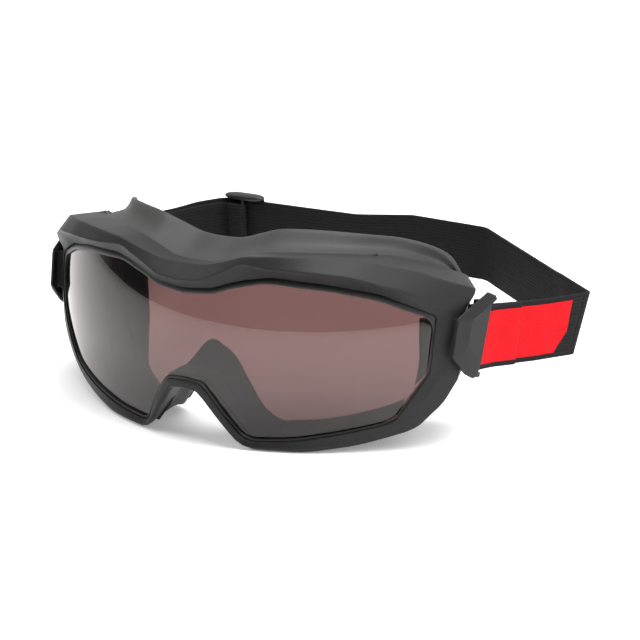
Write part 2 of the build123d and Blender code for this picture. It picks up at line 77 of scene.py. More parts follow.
# ------------------------------------------------------------------ table and light
# A white table that ends ahead of the goggles, so that the dim room past its edge
# darkens the upper half of the visor. Three soft round lights hang over it.
class Level:
    """A number that varies over a surface. Arithmetic on it adds Math nodes."""

    def __init__(self, finish, socket):
        self.finish, self.socket = finish, socket

    def maths(self, operation, *values):
        node = self.finish.node("ShaderNodeMath", {"operation": operation},
                                **{f"_{i}": v for i, v in enumerate(values)})
        return Level(self.finish, node.outputs[0])

    def __add__(self, other): return self.maths("ADD", self, other)
    def __radd__(self, other): return self.maths("ADD", other, self)
    def __sub__(self, other): return self.maths("SUBTRACT", self, other)
    def __rsub__(self, other): return self.maths("SUBTRACT", other, self)
    def __mul__(self, other): return self.maths("MULTIPLY", self, other)
    def __rmul__(self, other): return self.maths("MULTIPLY", other, self)
    def __truediv__(self, other): return self.maths("DIVIDE", self, other)
    def __pow__(self, other): return self.maths("POWER", self, other)
    def __abs__(self): return self.maths("ABSOLUTE", self)
    def sine(self): return self.maths("SINE", self)
    def lowest(self, other): return self.maths("MINIMUM", self, other)

    def rise(self, low, high):
        """0 below low and 1 above high, with a smooth rise between them."""
        node = self.finish.node("ShaderNodeMapRange", {"interpolation_type": "SMOOTHSTEP"},
                                Value=self, From_Min=low, From_Max=high)
        return Level(self.finish, node.outputs[0])


class Finish:
    """A material with one Principled shader. Uniform values go straight onto its sockets."""

    def __init__(self, name, colour, roughness, **uniform):
        self.material = bpy.data.materials.new(name)
        self.material.use_nodes = True
        self.tree = self.material.node_tree
        self.shader = self.tree.nodes["Principled BSDF"]
        self.material.diffuse_color = (*colour, 1)
        self.set(self.shader, Base_Color=(*colour, 1), Roughness=roughness, **uniform)

    def set(self, node, **sockets):
        """Gives sockets their values or links. _0 is the first socket, and an underscore is a space."""
        for name, value in sockets.items():
            socket = node.inputs[int(name[1:])] if name[1:].isdigit() else node.inputs[name.replace("_", " ")]
            if isinstance(value, Level):
                self.tree.links.new(value.socket, socket)
            elif isinstance(value, bpy.types.NodeSocket):
                self.tree.links.new(value, socket)
            else:
                socket.default_value = value
        return node

    def node(self, kind, settings=(), **sockets):
        """A node of a kind, with its settings, and then its sockets' values or links."""
        node = self.tree.nodes.new(kind)
        for name, value in dict(settings).items():
            if name == "stops":
                ramp = node.color_ramp
                while len(ramp.elements) < len(value):
                    ramp.elements.new(0.5)
                for stop, (place, colour) in zip(ramp.elements, value):
                    stop.position, stop.color = place, (*colour, 1)
            else:
                setattr(node, name, value)
        return self.set(node, **sockets)

    def coordinate(self, kind="Object"):
        return self.node("ShaderNodeTexCoord").outputs[kind]

    def noise(self, place, scale, detail=3.0, roughness=0.5):
        """Cloudy noise from 0 to 1 over a place, with scale waves to the metre."""
        return Level(self, self.node("ShaderNodeTexNoise", Vector=place, Scale=scale, Detail=detail,
                                     Roughness=roughness).outputs[0])

    def mix(self, share, first, second):
        """The first colour where share is 0 and the second where it is 1."""
        return self.node("ShaderNodeMix", {"data_type": "RGBA"}, _0=share, _6=first, _7=second).outputs[2]

    def bump(self, height, depth, strength=1.0):
        """Raises the surface by up to depth metres times height."""
        node = self.node("ShaderNodeBump", Height=height, Distance=depth, Strength=strength)
        self.set(self.shader, Normal=node.outputs[0])
        return node


table_front, table_side, table_back = -0.95, 2.5, 3.0
floor_z = cad_box[0][2]
table_data = bpy.data.meshes.new("table")
table_data.from_pydata([(-table_side, table_front, floor_z), (table_side, table_front, floor_z),
                        (table_side, table_back, floor_z), (-table_side, table_back, floor_z)], [], [(0, 1, 2, 3)])
table = bpy.data.objects.new("table", table_data)
bpy.context.scene.collection.objects.link(table)
white_top = Finish("table_white", (0.93, 0.93, 0.93), 0.6, Emission_Color=(1, 1, 1, 1), Emission_Strength=0.25)
table_data.materials.append(white_top.material)

room = bpy.data.worlds.new("room")
bpy.context.scene.world = room
room.use_nodes = True
room_nodes = room.node_tree.nodes
direction = room_nodes.new("ShaderNodeTexCoord")
across_room = room_nodes.new("ShaderNodeSeparateXYZ")
backdrop = room_nodes.new("ShaderNodeMapRange")
backdrop.inputs["From Min"].default_value = -0.25
backdrop.inputs["From Max"].default_value = 0.15
backdrop.inputs["To Min"].default_value = 0.12
backdrop.inputs["To Max"].default_value = 0.8
room.node_tree.links.new(direction.outputs["Generated"], across_room.inputs[0])
room.node_tree.links.new(across_room.outputs["Y"], backdrop.inputs["Value"])
room.node_tree.links.new(backdrop.outputs[0], room_nodes["Background"].inputs["Strength"])
room_nodes["Background"].inputs["Color"].default_value = (1, 1, 1, 1)

studio_lights = (
    ("top_light", (0.25, 0.1, 1.1), 1.2, 21.0),
    ("left_light", (-0.9, -0.5, 0.9), 0.7, 5.0),
    ("right_light", (1.0, -0.1, 0.8), 0.7, 6.0))
for name, place, size, power in studio_lights:
    light_data = bpy.data.lights.new(name, "AREA")
    light_data.shape = "DISK"
    light_data.size = size
    light_data.energy = power
    light = bpy.data.objects.new(name, light_data)
    bpy.context.scene.collection.objects.link(light)
    light.location = place
    light.rotation_euler = (-light.location).to_track_quat("-Z", "Y").to_euler()

# ------------------------------------------------------------------ visor lens
# One curved shell of tinted polycarbonate with a nose notch. It snaps into the gasket.
# Everything at the front of the goggles is placed by its distance ahead of this shell.
wrap_radius, upright_radius, visor_level, visor_front = 100.4, 88.7, 2.9, -24.0
lens_thick = 2.2
lens_half = np.array([
    (0, 25.7), (11, 26.8), (16.9, 28.9), (28.5, 31.5), (48, 29.2), (61.3, 25.7), (74.9, 18), (73.9, 0.7),
    (69.3, -7), (64.2, -15.2), (50, -18.4), (35.5, -21.2), (20, -22.5), (10.7, -7.7), (7.2, -3.1), (0, -2.4)])


def visor_depth(x, z):
    """Depth of the shell's outer face behind its foremost point: a circle of wrap_radius round an upright
    axis, whose radius shrinks above and below visor_level along a circle of upright_radius."""
    radius = wrap_radius - upright_radius + np.sqrt(upright_radius ** 2 - (z - visor_level) ** 2)
    return wrap_radius - np.sqrt(radius ** 2 - x ** 2)


def subdivided(points, steps):
    """Straight runs between the points, each cut into steps."""
    points = np.asarray(points, float)
    places = np.arange((len(points) - 1) * steps + 1) / steps
    return np.stack([np.interp(places, np.arange(len(points)), c) for c in points.T], -1)


def curved(points, steps, closed=False):
    """A Catmull-Rom curve through the points: each run is a cubic whose slope at a point is half the
    difference between that point's neighbours."""
    p = np.asarray(points, float)
    if closed:
        p = np.concatenate([p[-1:], p, p[:2]])
    else:
        p = np.concatenate([2 * p[:1] - p[1:2], p, 2 * p[-1:] - p[-2:-1]])
    t = (np.arange(steps) / steps).reshape((1, steps) + (1,) * (p.ndim - 1))
    a, b, c, d = (q[:, None] for q in (p[:-3], p[1:-2], p[2:-1], p[3:]))
    run = b + t / 2 * (c - a + t * (2 * a - 5 * b + 4 * c - d + t * (3 * (b - c) + d - a)))
    run = run.reshape((-1,) + p.shape[1:])
    return run if closed else np.concatenate([run, p[-2:-1]])


def rounded_turns(points, reach):
    """Rounds a closed line by averaging each point with reach neighbours on each side."""
    return sum(np.roll(points, k, 0) for k in range(-reach, reach + 1)) / (2 * reach + 1)


def both_sides(half):
    """A closed ring from its +X half, which runs from the top centre round to the bottom centre."""
    return np.concatenate([half, half[-2:0:-1] * ([-1] + [1] * (half.shape[-1] - 1))])


def surface(name, points, closed=(False, False), caps=(False, False), uv=None, finish=None, smooth=True):
    """A mesh object from a grid of points in millimetres, rows by columns. closed joins the last row or
    column to the first, and caps close the first and last row with a fan round their middle."""
    points = np.asarray(points, float)
    rows, columns = points.shape[:2]
    spots = np.arange(rows * columns).reshape(rows, columns)
    r = np.concatenate([spots, spots[:1]]) if closed[0] else spots
    r = np.concatenate([r, r[:, :1]], 1) if closed[1] else r
    faces = np.stack([r[:-1, :-1], r[:-1, 1:], r[1:, 1:], r[1:, :-1]], -1).reshape(-1, 4).tolist()
    vertices = [points.reshape(-1, 3)]
    for wanted, row, turn in ((caps[0], spots[0], 1), (caps[1], spots[-1], -1)):
        if wanted:
            middle = rows * columns + len(vertices) - 1
            vertices.append(points.reshape(-1, 3)[row].mean(0)[None])
            ring = np.append(row, row[0]) if closed[1] else row
            faces += [(b, a, middle)[::turn] for a, b in zip(ring[:-1].tolist(), ring[1:].tolist())]
    mesh = bpy.data.meshes.new(name)
    mesh.from_pydata((np.concatenate(vertices) * MM).tolist(), [], faces)
    if uv is not None:
        layer = mesh.uv_layers.new(name="UVMap")
        loops = np.zeros(len(mesh.loops), int)
        mesh.loops.foreach_get("vertex_index", loops)
        flat = np.concatenate([np.asarray(uv, float).reshape(-1, 2), np.zeros((2, 2))])
        layer.data.foreach_set("uv", flat[np.minimum(loops, len(flat) - 1)].ravel())
    mesh.polygons.foreach_set("use_smooth", [smooth] * len(mesh.polygons))
    thing = bpy.data.objects.new(name, mesh)
    bpy.context.scene.collection.objects.link(thing)
    if finish is not None:
        mesh.materials.append(finish.material)
    face_outwards(thing)
    return thing


def face_outwards(thing):
    """Turns the faces of a closed mesh outwards."""
    shell = bmesh.new()
    shell.from_mesh(thing.data)
    bmesh.ops.recalc_face_normals(shell, faces=shell.faces)
    shell.to_mesh(thing.data)
    shell.free()


def at_depth(x, depth, z):
    """Points in the goggles' frame from widths, depths behind the visor's front, and heights."""
    return np.stack([x, depth + visor_front, z], -1)


lens_tint = Finish("lens_tint", (0.08, 0.042, 0.040), 0.03, Transmission_Weight=1.0, IOR=1.5, Specular_IOR_Level=0.2)
place = lens_tint.coordinate()
height = Level(lens_tint, lens_tint.node("ShaderNodeSeparateXYZ", Vector=place).outputs["Z"])
haze = lens_tint.noise(place, 60, 4)
# Painted shade: the tint is darker towards the bottom of the visor, where the shaded seal wall shows through it, and
# lighter towards the top.
lens_tint.set(lens_tint.shader, Roughness=haze * 0.004, Base_Color=lens_tint.mix(
    height.rise(-0.02, 0.03), (0.095, 0.050, 0.048, 1), (0.125, 0.064, 0.060, 1)))

lens_middle = np.array((0, 12.0))
lens_rim = rounded_turns(both_sides(subdivided(lens_half, 8)), 2)
lens_rim = lens_middle + (lens_rim - lens_middle) * (1 + 1.0 / np.linalg.norm(lens_rim - lens_middle, axis=1)[:, None])
share = np.linspace(0, 1, 33)[1:, None, None] ** 0.9
spread = lens_middle + (lens_rim - lens_middle)[None] * share
wall = visor_depth(spread[..., 0], spread[..., 1])
front_face = at_depth(spread[..., 0], wall, spread[..., 1])
back_face = at_depth(spread[..., 0], wall + lens_thick, spread[..., 1])
lens = surface("lens", np.concatenate([front_face, back_face[::-1]]), (False, True), (True, True), finish=lens_tint)
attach(lens, "root")
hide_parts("lens")


# ------------------------------------------------------------------ front frame
# One moulding in charcoal nylon: a bezel round the visor, a brow shelf above it, a notch for
# the nose and a side wall by each clip. Its facets meet in softly rounded edges.
def ahead_of_visor(controls, steps):
    """A rail down the +X side from controls of width, height and depth. Width, height and distance ahead
    of the visor run straight between them, so the rail wraps as the visor does."""
    controls = np.asarray(controls, float)
    out = visor_depth(controls[:, 0], controls[:, 1]) - controls[:, 2]
    run = subdivided(np.column_stack([controls[:, :2], out]), steps)
    return np.column_stack([run[:, 0], visor_depth(run[:, 0], run[:, 1]) - run[:, 2] + visor_front, run[:, 1]])


def rounded_section(rails, radii):
    """A grid whose rows go round a closed section and whose columns follow the rails. At each rail the
    corner becomes a quadratic curve that starts and ends a radius away, with a row outside each end."""
    rows = []
    for k, radius in enumerate(radii):
        corner = rails[k]
        ends = []
        for other in (rails[k - 1], rails[(k + 1) % len(rails)]):
            way = other - corner
            length = np.linalg.norm(way, axis=1)[:, None]
            ends.append((way / length, np.minimum(radius, length * 0.45)))
        (back, b), (on, o) = ends
        first, last = corner + back * b, corner + on * o
        rows.append(first + back * np.minimum(0.35, b))
        rows += [first * (1 - t) ** 2 + corner * 2 * t * (1 - t) + last * t ** 2 for t in (0, 0.25, 0.5, 0.75, 1)]
        rows.append(last + on * np.minimum(0.35, o))
    return np.array(rows)


frame_opening = [
    (0, 27.8), (11, 28.9), (17, 31.0), (23, 32.5), (31, 33.6), (48.3, 31.4), (61.7, 27.9), (69, 23.6), (75.7, 19.4),
    (75.6, 15), (75.1, 5), (74.6, 0.4), (70.0, -7.4), (64.7, -15.8), (50.1, -19.2), (35.6, -22.0), (19.5, -23.3),
    (10.0, -8.1), (6.7, -3.9), (0, -3.1)]
front_ridge = [
    (0, 31.5, -0.7), (8, 32, -0.3), (16, 35.4, 1.2), (24, 39.5, 1.7), (34, 38.7, 1.8), (46, 38.9, 4.3),
    (58, 36.6, 12.5), (70, 29.9, 24.9), (78.8, 20.0, 38.6), (79.6, 16, 38.8), (79.6, 8, 37.9), (78.9, 1.9, 36.4),
    (74, -6.8, 30.7), (68.6, -16.4, 27.8), (53, -21.7, 17.5), (38.2, -24.4, 9.2), (19.2, -25.0, 3.2),
    (7.9, -9.2, -0.8), (5.2, -6.1, -1.4), (0, -5.7, -1.6)]
outer_edge = [
    (0, 35.3, 5.5), (8, 36.1, 4.5), (16, 38.6, 3.4), (24, 41.6, 2.7), (34, 42.6, 4.1), (46, 42.5, 9),
    (58, 40.1, 18.9), (70, 34.4, 33.2), (83.2, 25.9, 48.0), (83.0, 24.0, 47.5), (80.5, 18, 43), (81.2, -1.8, 40),
    (77.4, -10.4, 35.3), (69.8, -19.0, 30), (54.4, -23.6, 19.2), (39.2, -25.9, 10.8), (19.6, -26.0, 5),
    (7.4, -9.8, 1.2), (4.9, -6.9, 0.4), (0, -6.5, 0.2)]
back_edge = [
    (0, 35.0, 10.6), (8, 35.1, 11.3), (16, 37.4, 12.7), (24, 39.7, 14.3), (34, 39.8, 18.2), (46, 38.8, 26.2),
    (58, 36.0, 39.7), (66, 30.5, 52), (74, 26, 58.6), (75, 23, 58.6), (75.6, 15, 57), (75.6, -2, 54),
    (72, -10, 48), (65, -17, 42), (51.5, -22, 30), (37.5, -24.6, 20), (20.5, -24.8, 13.6),
    (8.4, -10.4, 10.4), (5.4, -7.6, 10.2), (0, -7.2, 10.2)]
rail_steps = 6
opening = np.array(frame_opening, float)
opening_depth = visor_depth(*opening.T)
front_lip = np.column_stack([opening, opening_depth - 1.6])
pocket = np.column_stack([opening, opening_depth + 1.2])
back_edge = np.array(back_edge, float)
middle_of_edge = np.array((0, 12.0))
inner_back = np.column_stack([
    back_edge[:, :2] * 0.45 + opening * 0.55, np.minimum(back_edge[:, 2], opening_depth + 14)])
rails = [rounded_turns(both_sides(ahead_of_visor(rail, rail_steps)), 1)
         for rail in (pocket, front_lip, front_ridge, outer_edge, back_edge, inner_back)]
frame_section = rounded_section(rails, (0.3, 0.45, 0.6, 0.55, 0.4, 0.3))

frame_plastic = Finish("frame_plastic", (0.018, 0.018, 0.019), 0.45, Specular_IOR_Level=0.2)
place = frame_plastic.coordinate()
cloud = frame_plastic.noise(place, 45, 3)
grain = frame_plastic.noise(place, 2600, 2, 0.6)
frame_plastic.set(frame_plastic.shader, Roughness=0.36 + cloud * 0.12 + grain * 0.08, Base_Color=frame_plastic.mix(
    cloud, (0.015, 0.015, 0.0155, 1), (0.021, 0.0205, 0.0205, 1)))
frame_plastic.bump(grain, 0.00006)

front_frame = surface("front_frame", frame_section, (True, True), finish=frame_plastic)
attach(front_frame, "root")
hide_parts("front_frame")

# ------------------------------------------------------------------ lens gasket
# A black rubber band pressed between the bezel and the visor, wider along the brow.
gasket_rubber = Finish("gasket_rubber", (0.008, 0.008, 0.008), 0.42)
place = gasket_rubber.coordinate()
gasket_rubber.set(gasket_rubber.shader, Roughness=0.34 + gasket_rubber.noise(place, 300, 3) * 0.2)
gasket_rubber.bump(gasket_rubber.noise(place, 1800, 2), 0.00003)

gasket_inner = rounded_turns(both_sides(subdivided(lens_half, 10)), 2)
way_in = gasket_inner - lens_middle
gasket_seat = rounded_turns(both_sides(subdivided(opening, 8)), 1)
angle_in = np.unwrap(np.arctan2(way_in[:, 0], way_in[:, 1]))
way_out = gasket_seat - lens_middle
angle_out = np.unwrap(np.arctan2(way_out[:, 0], way_out[:, 1]))
full = 2 * np.pi
looped = [np.concatenate([v, v[:1] + extra])
          for v, extra in ((angle_out, full), (gasket_seat[:, 0], 0), (gasket_seat[:, 1], 0))]
gasket_outer = np.column_stack([np.interp(angle_in, looped[0], looped[1]), np.interp(angle_in, looped[0], looped[2])])
step_out = gasket_outer - gasket_inner
step_out = step_out / np.linalg.norm(step_out, axis=1)[:, None]
gasket_rows = []
for outward, forward in ((0.0, -0.3), (0.0, 0.45), (0.25, 0.75), (0.6, 0.85)):
    ring = gasket_inner + step_out * outward
    gasket_rows.append(at_depth(ring[:, 0], visor_depth(*ring.T) - forward, ring[:, 1]))
for outward, forward in ((0.25, 0.85), (0.25, -lens_thick - 0.9)):
    ring = gasket_outer + step_out * outward
    gasket_rows.append(at_depth(ring[:, 0], visor_depth(*ring.T) - forward, ring[:, 1]))
ring = gasket_inner
gasket_rows.append(at_depth(ring[:, 0], visor_depth(*ring.T) + lens_thick + 0.9, ring[:, 1]))
lens_gasket = surface("lens_gasket", np.array(gasket_rows), (True, True), finish=gasket_rubber)
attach(lens_gasket, "root")
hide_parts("lens_gasket")


# ------------------------------------------------------------------ face seal
# A soft moulded skirt behind the frame. It flares to a thin rim, and a lip folds inwards
# from the rim to lie on the face. It is pushed over the back of the frame.
def face_depth(x):
    """Depth of the wearer's face: an upright cylinder of radius 64 that starts 22 behind the visor."""
    return 22 + 64 - np.sqrt(64.0 ** 2 - np.minimum(np.abs(x), 58) ** 2)


seal_rim = np.array([
    (0, 38.6, 24.6), (8, 38.8, 25.6), (16, 41.4, 25.3), (24, 43.9, 25.2), (34, 43.7, 29.7), (46, 41.5, 38.7),
    (56, 37.4, 51.0), (64.5, 31.6, 59.8), (69.5, 26, 60.4), (72, 18, 60.8), (72, 4, 60.8), (70.5, -7, 60),
    (64.5, -17.5, 55), (50, -23.4, 44), (36, -25.1, 33.6), (25.5, -25.0, 26.8), (16.0, -20.0, 24), (10.0, -10.8, 21.6),
    (5.6, -3.0, 20.4), (0, 0.8, 20)], float)
seal_root = np.column_stack([back_edge[:, :2] * 0.97 + middle_of_edge * 0.03, back_edge[:, 2] + 0.2])
seal_root[16:, :2] = [(20.5, -23.0), (12.3, -11.5), (8.0, -6.0), (0, -4.6)]
waist = seal_root * 0.5 + seal_rim * 0.5
waist[:, :2] += (middle_of_edge - waist[:, :2]) * 0.03
lip_in = np.array([
    (0, 32.6), (7.5, 32.8), (15, 34.6), (23, 36.6), (32.5, 36.2), (43, 34.6), (50, 31), (55, 26), (57, 20),
    (57.5, 12), (57.3, 2), (57, -8), (54.5, -17.5), (45, -21), (34, -22.8), (27.0, -24.0), (17.0, -20.5), (10.6, -10.5),
    (5.8, -1.8), (0, 1.6)], float)
lip_face = np.column_stack([lip_in, face_depth(lip_in[:, 0]) + 0.2])
lip_front = np.column_stack([lip_in, face_depth(lip_in[:, 0]) - 1.8])


def inward(rail, distance):
    """The rail moved towards the middle of the face opening."""
    way = middle_of_edge - rail[:, :2]
    way = way / np.linalg.norm(way, axis=1)[:, None]
    way[16:] *= [-1, -1]
    return np.column_stack([rail[:, :2] + way * distance, rail[:, 2]])


seal_back = seal_rim + (0, 0, 0.9)
rim_in = inward(seal_rim, 1.6)
rim_in[:, 2] = seal_rim[:, 2] + 0.9
bend_in = inward(seal_rim, 3.4)
bend_in[:, 2] = seal_rim[:, 2] - 1.6
sunk_root = seal_root - (0, 0, 2.5)
seal_loop = np.array([sunk_root, seal_root, waist, seal_rim - (0, 0, 0.6), seal_back, rim_in, lip_face, lip_front,
                      bend_in, inward(waist, 2.6), inward(seal_root, 2.6), inward(sunk_root, 2.6)])
seal_loop = np.concatenate([seal_loop, seal_loop[:, -2:0:-1] * (-1, 1, 1)], 1)
seal_grid = curved(np.swapaxes(curved(seal_loop, 4, closed=True), 0, 1), 5, closed=True)

soft_seal = Finish("soft_seal", (0.014, 0.014, 0.014), 0.5, Specular_IOR_Level=0.3)
place = soft_seal.coordinate()
speckle = soft_seal.noise(place, 1500, 3)
blotch = soft_seal.noise(place, 60, 3)
soft_seal.set(soft_seal.shader, Roughness=0.4 + blotch * 0.14 + speckle * 0.1, Base_Color=soft_seal.mix(
    blotch, (0.030, 0.030, 0.030, 1), (0.040, 0.039, 0.038, 1)))
soft_seal.bump(speckle, 0.00005)
face_seal = surface("face_seal", at_depth(seal_grid[..., 0], seal_grid[..., 2], seal_grid[..., 1]), (True, True),
                    finish=soft_seal)
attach(face_seal, "root")
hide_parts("face_seal")

# ------------------------------------------------------------------ nose pad
# A softer arch between the frame's notch and the seal. It is glued to both, and its skin
# is smooth where it bears on the nose.
nose_rubber = Finish("nose_rubber", (0.010, 0.010, 0.010), 0.55, Specular_IOR_Level=0.3)
place = nose_rubber.coordinate()
nose_rubber.set(nose_rubber.shader, Roughness=0.48 + nose_rubber.noise(place, 400, 3) * 0.2)
nose_rubber.bump(nose_rubber.noise(place, 2200, 2), 0.00005)

arch_outer_front = [(22.0, -24.6), (15.4, -16), (10.8, -6.6), (6, -3.9), (0, -3.6)]
arch_outer_back = [(26.0, -20.6), (17.4, -15.6), (9.6, -5.0), (4.9, 1.4), (0, 4.2)]
arch_inner_back = [(24.6, -23.0), (15.8, -17.8), (8.2, -7.0), (4.0, -0.8), (0, 2.0)]
arch_inner_front = [(19.8, -24.8), (13.2, -16.6), (9.2, -8.4), (5.2, -6.4), (0, -6.3)]


def arch_row(half, depth):
    """A smooth arch over the nose at one depth, from its +X foot over the crown to its -X foot."""
    half = np.asarray(half, float)
    line = curved(np.concatenate([half, half[-2::-1] * (-1, 1)]), 5)
    return at_depth(line[:, 0], np.full(len(line), depth), line[:, 1])


pad_rows = [arch_row(arch_outer_front, 10.4), arch_row(arch_outer_front, 11.5), arch_row(arch_outer_back, 17.6),
            arch_row(arch_outer_back, 19.0), arch_row(arch_inner_back, 19.2), arch_row(arch_inner_back, 18.0),
            arch_row(arch_inner_front, 11.3), arch_row(arch_inner_front, 10.2)]
pad_grid = np.swapaxes(curved(np.array(pad_rows), 3, closed=True), 0, 1)
nose_pad = surface("nose_pad", pad_grid, (False, True), (True, True), finish=nose_rubber)
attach(nose_pad, "root")
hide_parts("nose_pad")

# ------------------------------------------------------------------ rear frame, vent foam and hinge pins
# The inner carrier ring clamps the visor, foam strips fill the brow's vents, and a plain
# steel pin holds each clip. Their moulded shapes are right as they are.
carrier_plastic = Finish("carrier_plastic", (0.022, 0.022, 0.023), 0.5)
place = carrier_plastic.coordinate()
carrier_plastic.set(carrier_plastic.shader, Roughness=0.42 + carrier_plastic.noise(place, 200, 3) * 0.2)
carrier_plastic.bump(carrier_plastic.noise(place, 2500, 2), 0.00005)

foam = Finish("foam", (0.016, 0.016, 0.016), 0.95)
place = foam.coordinate()
cells = Level(foam, foam.node("ShaderNodeTexVoronoi", Vector=place, Scale=1400.0).outputs["Distance"])
foam.set(foam.shader, Base_Color=foam.mix(cells, (0.006, 0.006, 0.006, 1), (0.030, 0.030, 0.030, 1)))
foam.bump(cells, 0.0004)

pin_steel = Finish("pin_steel", (0.55, 0.55, 0.57), 0.3, Metallic=1.0)
place = pin_steel.coordinate()
pin_steel.set(pin_steel.shader, Roughness=0.24 + pin_steel.noise(place, 900, 2) * 0.2)

for finish, names in ((carrier_plastic, ["rear_frame"]), (foam, ["vent_foam_right", "vent_foam_left"]),
                      (pin_steel, ["clip_pin_right", "clip_pin_left"])):
    for name in names:
        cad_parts[name].data.materials.clear()
        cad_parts[name].data.materials.append(finish.material)

# ------------------------------------------------------------------ strap clips
# A faceted cover plate on each side, moulded with two cheeks, a bar for the webbing to turn
# round and a barrel that swings on the hinge pin.
clip_origin = np.array((81.2, 21.001, 9.7))
back_way = np.array((0.118502, 0.965122, -0.233445))
up_way = np.array((0.02845, 0.231705, 0.97237))
out_way = np.array((0.992546, -0.121869, 0.0))


def on_clip(u, v, w):
    """Points from distances back along the strap, up across it and outwards from the clip's datum."""
    u, v, w = (np.asarray(a, float)[..., None] for a in (u, v, w))
    return clip_origin + back_way * u + up_way * v + out_way * w


def hull(shell, points):
    """Adds the smallest faceted solid round some points to a bmesh."""
    corners = [shell.verts.new(p * MM) for p in points]
    found = bmesh.ops.convex_hull(shell, input=corners)
    inside = [g for g in found["geom_interior"] if isinstance(g, bmesh.types.BMVert)]
    bmesh.ops.delete(shell, geom=inside, context="VERTS")


def round_bar(u, w, radius, low, high, sides=20):
    """Rim points of a round bar that stands across the strap from low to high."""
    turn = np.arange(sides) * 2 * np.pi / sides
    rim_u, rim_w = u + radius * np.cos(turn), w + radius * np.sin(turn)
    return np.concatenate([on_clip(rim_u, np.full(sides, v), rim_w) for v in (low, high)])


cover_body = [
    (-9.9, -5.6, 1.5), (-9.9, -5.6, 2.3), (-9.5, 6.3, 1.5), (-9.5, 6.3, 2.5), (-4.2, 6.8, 4.15), (-4.8, -1.5, 4.15),
    (-8.0, -7.2, 2.9), (4.4, 11.6, 4.9), (2.6, -7.2, 4.9), (2.4, -11.7, 4.2), (1.0, -13.1, 3.5), (-2.6, -11.5, 2.8),
    (-5.0, -9.4, 2.7), (-8.0, -7.2, 1.5), (4.4, 11.6, 3.6), (2.4, -11.7, 3.5), (-2.6, -11.5, 2.2)]
cover_top = [
    (-9.6, 5.9, 1.7), (-9.7, 7.0, 1.7), (-8.7, 6.0, 2.9), (-9.6, 7.0, 2.3), (3.4, 15.5, 3.6), (7.3, 14.3, 4.2),
    (6.6, 13.2, 5.3), (3.6, 11.2, 5.1), (-2.6, 7.8, 4.5), (-3.4, 6.8, 4.3), (3.4, 15.5, 3.2), (7.3, 14.3, 3.8),
    (4.4, 11.0, 3.5)]
cheek_low, cheek_high, cheek_thick = -10.9, 10.9, 1.6
cheek_back, cheek_out = (1.7, 4.1), (-0.6, 3.9)
bar_back, bar_out, bar_radius = 2.5, 0.3, 1.4
barrel_back, barrel_out, barrel_radius, barrel_half = -5.5, -1.6, 2.0, 6.5
neck_back, neck_half, neck_out = (-7.0, -4.0), 6.4, (-1.6, 2.4)

clip_plastic = Finish("clip_plastic", (0.018, 0.018, 0.019), 0.4, Specular_IOR_Level=0.2)
place = clip_plastic.coordinate()
cloud = clip_plastic.noise(place, 90, 3)
grain = clip_plastic.noise(place, 2600, 2, 0.6)
clip_plastic.set(clip_plastic.shader, Roughness=0.32 + cloud * 0.12 + grain * 0.08, Base_Color=clip_plastic.mix(
    cloud, (0.015, 0.015, 0.0155, 1), (0.021, 0.0205, 0.0205, 1)))
clip_plastic.bump(grain, 0.00006)

for side, mirror in (("right", 1), ("left", -1)):
    shell = bmesh.new()
    parts = [on_clip(*np.array(cover_body).T), on_clip(*np.array(cover_top).T),
             round_bar(bar_back, bar_out, bar_radius, cheek_low, cheek_high),
             round_bar(barrel_back, barrel_out, barrel_radius, -barrel_half, barrel_half)]
    for low in (cheek_low - cheek_thick, cheek_high):
        u, v, w = np.meshgrid(cheek_back, (low, low + cheek_thick), cheek_out)
        parts.append(on_clip(u.ravel(), v.ravel(), w.ravel()))
    u, v, w = np.meshgrid(neck_back, (-neck_half, neck_half), neck_out)
    parts.append(on_clip(u.ravel(), v.ravel(), w.ravel()))
    for points in parts:
        hull(shell, points * (mirror, 1, 1))
    bmesh.ops.recalc_face_normals(shell, faces=shell.faces)
    bmesh.ops.dissolve_limit(shell, angle_limit=0.02, verts=shell.verts, edges=shell.edges)
    mesh = bpy.data.meshes.new("clip_" + side)
    shell.to_mesh(mesh)
    shell.free()
    mesh.materials.append(clip_plastic.material)
    clip = bpy.data.objects.new("clip_cover_" + side, mesh)
    bpy.context.scene.collection.objects.link(clip)
    edges = clip.modifiers.new("moulded_edges", "BEVEL")
    edges.width, edges.segments, edges.limit_method, edges.angle_limit = 0.32 * MM, 3, "ANGLE", 0.2
    edges.harden_normals = True
    mesh.polygons.foreach_set("use_smooth", [True] * len(mesh.polygons))
    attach(clip, "clip_" + side)
    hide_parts("clip_" + side)

# ------------------------------------------------------------------ head strap
# One length of 21 mm black elastic webbing. It is sewn back on itself at the right clip,
# runs round the head, turns round the left clip's bar and returns inside itself to the slider.
strap_thick, strap_half, bend_radius = 1.2, 10.5, 2.35
sewn_end = [(27, 0.95), (14, 0.98), (8.2, 1.8)]
turn = np.radians(np.arange(90, 271, 15))
round_right_bar = list(zip(bar_back + bend_radius * np.cos(turn), bar_out + bend_radius * np.sin(turn)))
inner_side = [(8.2, -1.2), (14, -0.36), (27, -0.3), (40, -0.3)]
right_line = np.array(sewn_end + round_right_bar + inner_side)
right_top = on_clip(right_line[:, 0], np.full(len(right_line), strap_half), right_line[:, 1])
right_foot = on_clip(right_line[:, 0], np.full(len(right_line), -strap_half), right_line[:, 1])
fold_top = on_clip((55, 70.6), (11.0, 11.8), (-0.3, -0.3))
fold_foot = on_clip((52, 64.6), (-10.2, -9.9), (-0.3, -0.3))
back_line = np.array([
    (70.0, 107.6, -7.0), (65.5, 111.5, -7.6), (27.0, 137.8, -6.6), (22.0, 140.0, -5.6),
    (-10.0, 139.9, -5.0), (-26.0, 138.6, -6.6),
    (-34.0, 137.87, -7.34), (-45.0, 137.46, -7.4),
    (-84.7, 136.0, -7.4), (-95.2, 135.6, -7.8), (-102.0, 127.5, -8.2), (-105.5, 117.0, -8.4), (-107.0, 107.0, -7.4)])
rise = np.array((0, 0, strap_half))
mirrored = np.array((-1, 1, 1))
